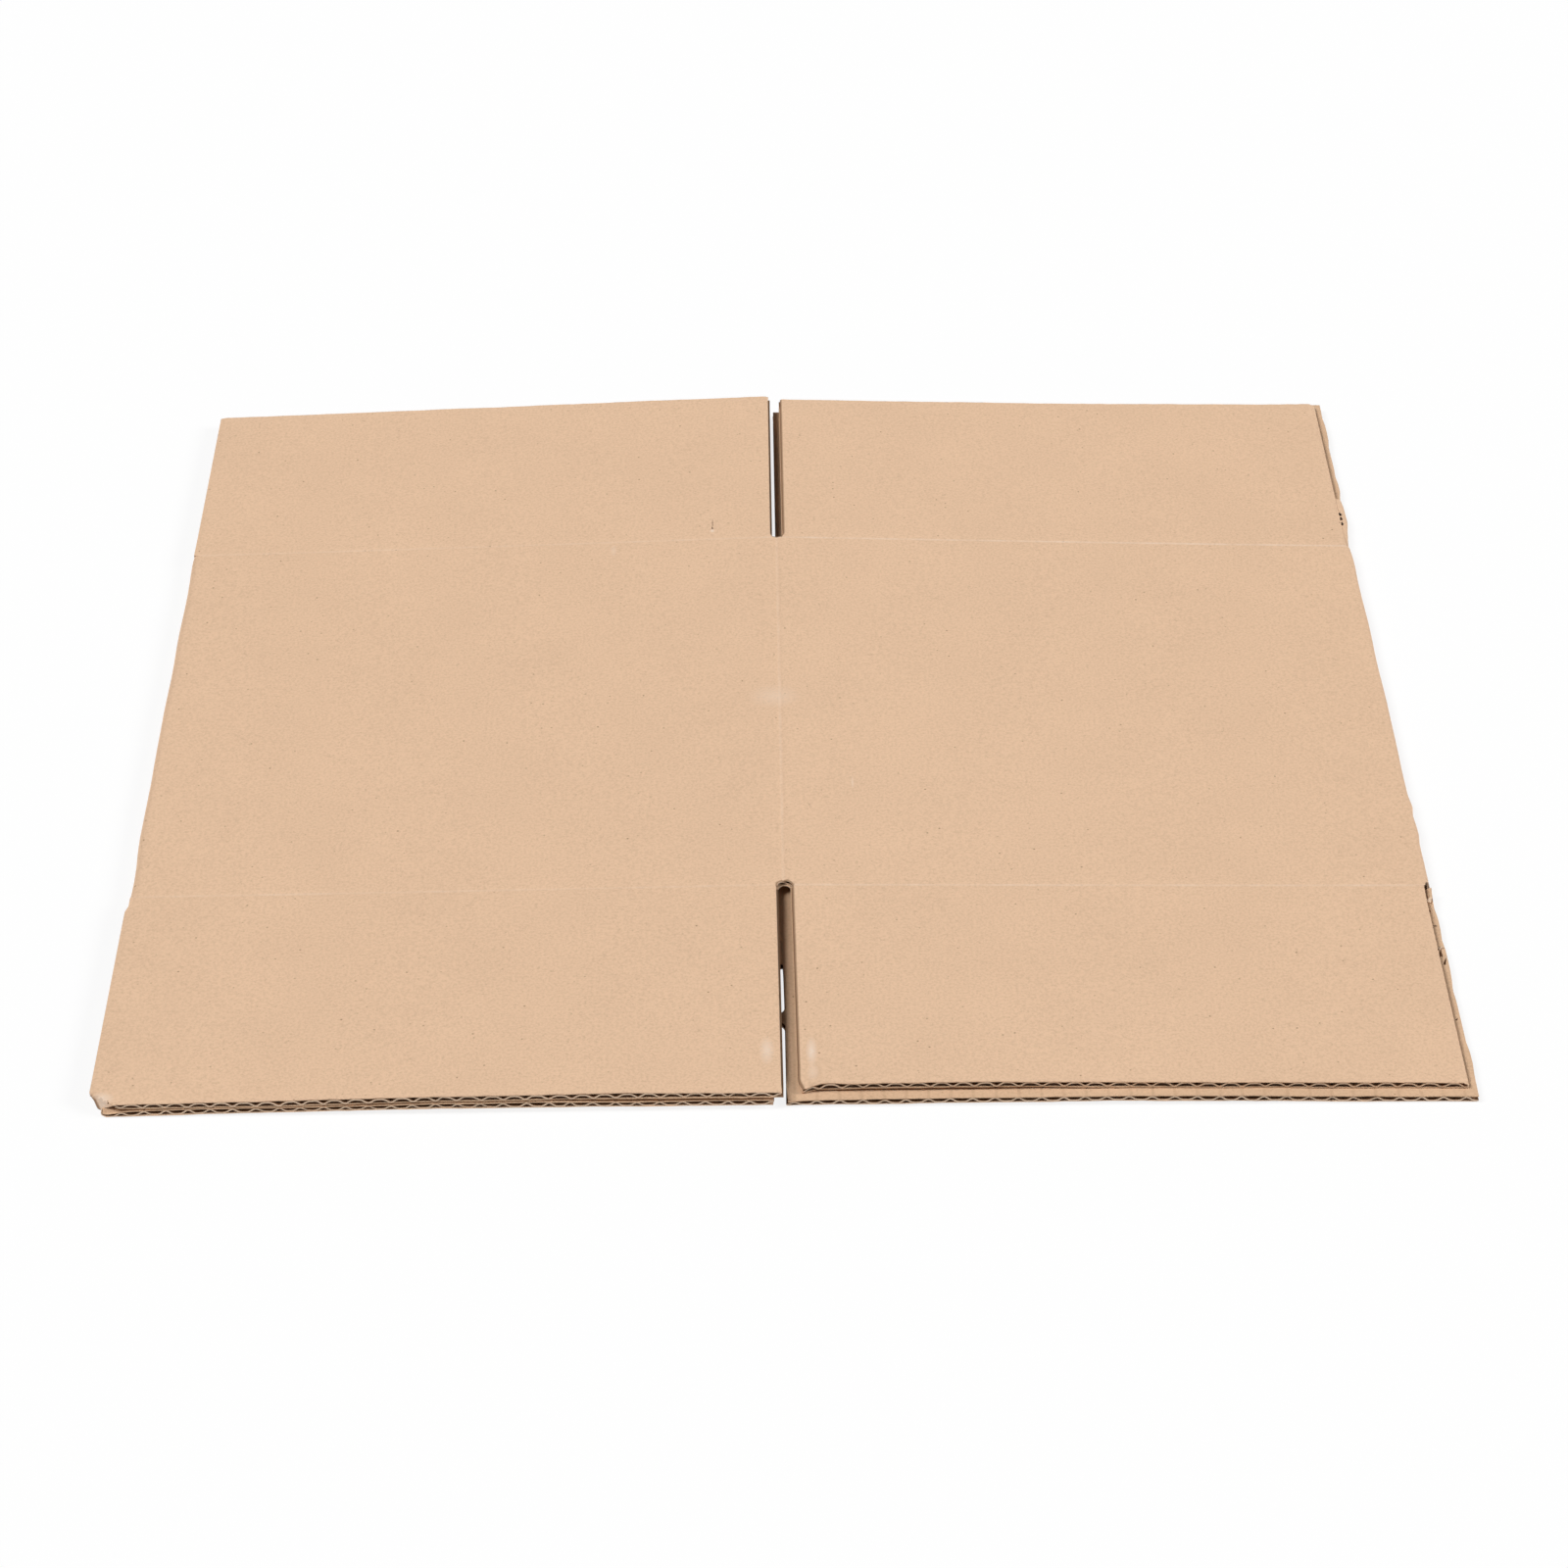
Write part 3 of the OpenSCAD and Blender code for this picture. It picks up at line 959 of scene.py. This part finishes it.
class CARTON_OT_top_flaps(bpy.types.Operator):
    """Make the four top flaps, which bend at their scores"""

    bl_idname = "carton.top_flaps"
    bl_label = "Top Flaps"

    def execute(self, context):
        sizes, lie, _ = settings()
        flaps = (
            TopFlap("front_left_flap", -1, -1, 0.2 * MM, 2.35 * MM, -0.5 * MM,
                    (4.9, 5.15, 6.15, 6.5, 6.25), -1 * MM),
            TopFlap("front_right_flap", 1, -1, 2.2 * MM, 2.6 * MM, 0.7 * MM,
                    (4.55, 5.0, 5.7, 6.1, 5.65), -0.8 * MM, 4.2 * MM),
            TopFlap("back_left_flap", -1, 1, 0.3 * MM, 2.25 * MM, 0,
                    (4.4, 5.5, 6.8, 8.2, 9.6), -3.5 * MM),
            TopFlap("back_right_flap", 1, 1, 1.8 * MM, 2.25 * MM, 0,
                    (5.0, 5.2, 5.8, 6.9, 8.3), -1.1 * MM))
        for number, flap in enumerate(flaps):
            edge = flap.edge
            along = sorted((flap.end * sizes.score, edge))
            across = sorted((flap.fold_x, flap.slot_x))
            y_cuts = [edge - flap.end * d * MM for d in (0.8, 1.4, 2, 3, 4, 5.5, 7, 11, 16)]
            y_cuts += [flap.end * (sizes.score + d * MM) for d in np.arange(0.5, 8, 0.5)]
            x_cuts = [flap.slot_x + flap.side * d * MM for d in (0.4, 0.8, 1.3, 2, 4, 6, 8, 11)]
            x_cuts += [flap.fold_x - flap.side * d * MM for d in (0.4, 0.8, 1.5, 2.2, 3, 4, 5, 6, 7, 8, 9)]
            holes = ()
            if flap.name == "back_left_flap":
                # A small tear that runs on in a crack: x, y, sides, width and length
                holes = [(-21 * MM, 107.2 * MM, 3, 1.1 * MM, 2 * MM),
                         (-20.9 * MM, 110.5 * MM, 4, 0.3 * MM, 6 * MM)]
            ledges = (0, LEFT_LEDGE) if flap.side < 0 else (sizes.ledge, 0)
            board = make_board(
                f"{flap.name}_board", across, along, 8, 400 + 30 * number,
                x_cuts, y_cuts, (edge,), holes, ledges, flap.knife_line_and_shade)
            bend(board, flap.rule)
            finish_board(board)
            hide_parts(flap.name)
            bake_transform(board)
        return {"FINISHED"}


# Far softboxes, so that the light is even: place, strength and width in degrees. The key from the left
# leaves the slots dark, as in the photograph.
SOFTBOXES = {
    "key_softbox": ((-2.25, -0.5, 3.05), 2.4, 26),
    "fill_softbox": ((3.4, -0.4, 1.9), 2.0, 20),
}
# The floor lies just under the carton, so that their faces are not in one plane
FLOOR_SIZE = 8
FLOOR_DROP = 0.3 * MM
# How strongly the world lights the carton, beside the 1 that the camera sees
SKY_LIGHT = 0.08
# The photograph's camera: place, angles in degrees, and lens and sensor in mm
CAMERA_PLACE = (-9.1 * MM, -1161.4 * MM, 775.2 * MM)
CAMERA_DOWN = 34.54
CAMERA_PAN = -0.57
CAMERA_ROLL = -0.2
CAMERA_LENS = 98.17
CAMERA_SENSOR = 36


class CARTON_OT_stage(bpy.types.Operator):
    """Make the floor, the soft light and the camera at the photograph's angle"""

    bl_idname = "carton.stage"
    bl_label = "Stage"

    def execute(self, context):
        bpy.ops.object.select_all(action="DESELECT")
        bpy.ops.mesh.primitive_plane_add(size=FLOOR_SIZE, location=(0, 0, -FLOOR_DROP))
        floor = bpy.context.object
        floor.name = "studio_floor"
        bpy.ops.object.transform_apply(location=True)
        floor.data.materials.append(make_floor_paint())

        world = bpy.data.worlds.new("soft_daylight")
        world.use_nodes = True
        tree = world.node_tree
        tree.nodes.clear()
        strength = add_node(tree, "ShaderNodeMapRange", {
            "Value": seen_directly(tree), "To Min": SKY_LIGHT, "To Max": 1.0}).outputs["Result"]
        sky = add_node(tree, "ShaderNodeBackground", {
            "Color": WHITE, "Strength": strength}).outputs["Background"]
        add_node(tree, "ShaderNodeOutputWorld", {"Surface": sky})
        bpy.context.scene.world = world

        for name, (place, strength, width) in SOFTBOXES.items():
            bpy.ops.object.light_add(type="SUN", location=place)
            lamp = bpy.context.object
            lamp.name = name
            lamp.data.energy = strength
            lamp.data.angle = math.radians(width)
            lamp.rotation_euler = (-lamp.location).to_track_quat("-Z", "Y").to_euler()

        camera_data = bpy.data.cameras.new("photo_camera")
        camera = bpy.data.objects.new("photo_camera", camera_data)
        bpy.context.scene.collection.objects.link(camera)
        camera_data.sensor_width = CAMERA_SENSOR
        camera_data.lens = CAMERA_LENS
        camera.location = CAMERA_PLACE
        turn = (Matrix.Rotation(math.radians(CAMERA_PAN), 3, "Z")
                @ Matrix.Rotation(math.radians(90 - CAMERA_DOWN), 3, "X")
                @ Matrix.Rotation(math.radians(CAMERA_ROLL), 3, "Z"))
        camera.rotation_euler = turn.to_euler()
        bpy.context.scene.camera = camera
        bpy.context.scene.view_settings.view_transform = "Standard"
        return {"FINISHED"}


class CARTON_PT_panel(bpy.types.Panel):
    """Lists the carton's pieces"""

    bl_idname = "CARTON_PT_panel"
    bl_label = "Flattened Carton"
    bl_space_type = "VIEW_3D"
    bl_region_type = "UI"
    bl_category = "Carton"

    def draw(self, context):
        for operator in OPERATORS:
            self.layout.operator(operator.bl_idname)


OPERATORS = (CARTON_OT_papers, CARTON_OT_sleeve, CARTON_OT_top_flaps, CARTON_OT_stage)
GROUPS = {"carton_sizes": CartonSizes, "carton_lie": CartonLie, "carton_finish": CartonFinish}


def register():
    for kind in (*GROUPS.values(), *OPERATORS, CARTON_PT_panel):
        bpy.utils.register_class(kind)
    for name, kind in GROUPS.items():
        setattr(bpy.types.Scene, name, bpy.props.PointerProperty(type=kind))


def unregister():
    for name in GROUPS:
        delattr(bpy.types.Scene, name)
    for kind in reversed((*GROUPS.values(), *OPERATORS, CARTON_PT_panel)):
        bpy.utils.unregister_class(kind)


def main():
    register()
    bpy.ops.carton.papers()
    bpy.ops.carton.sleeve()
    bpy.ops.carton.top_flaps()
    bpy.ops.carton.stage()


if __name__ == "__main__":
    main()
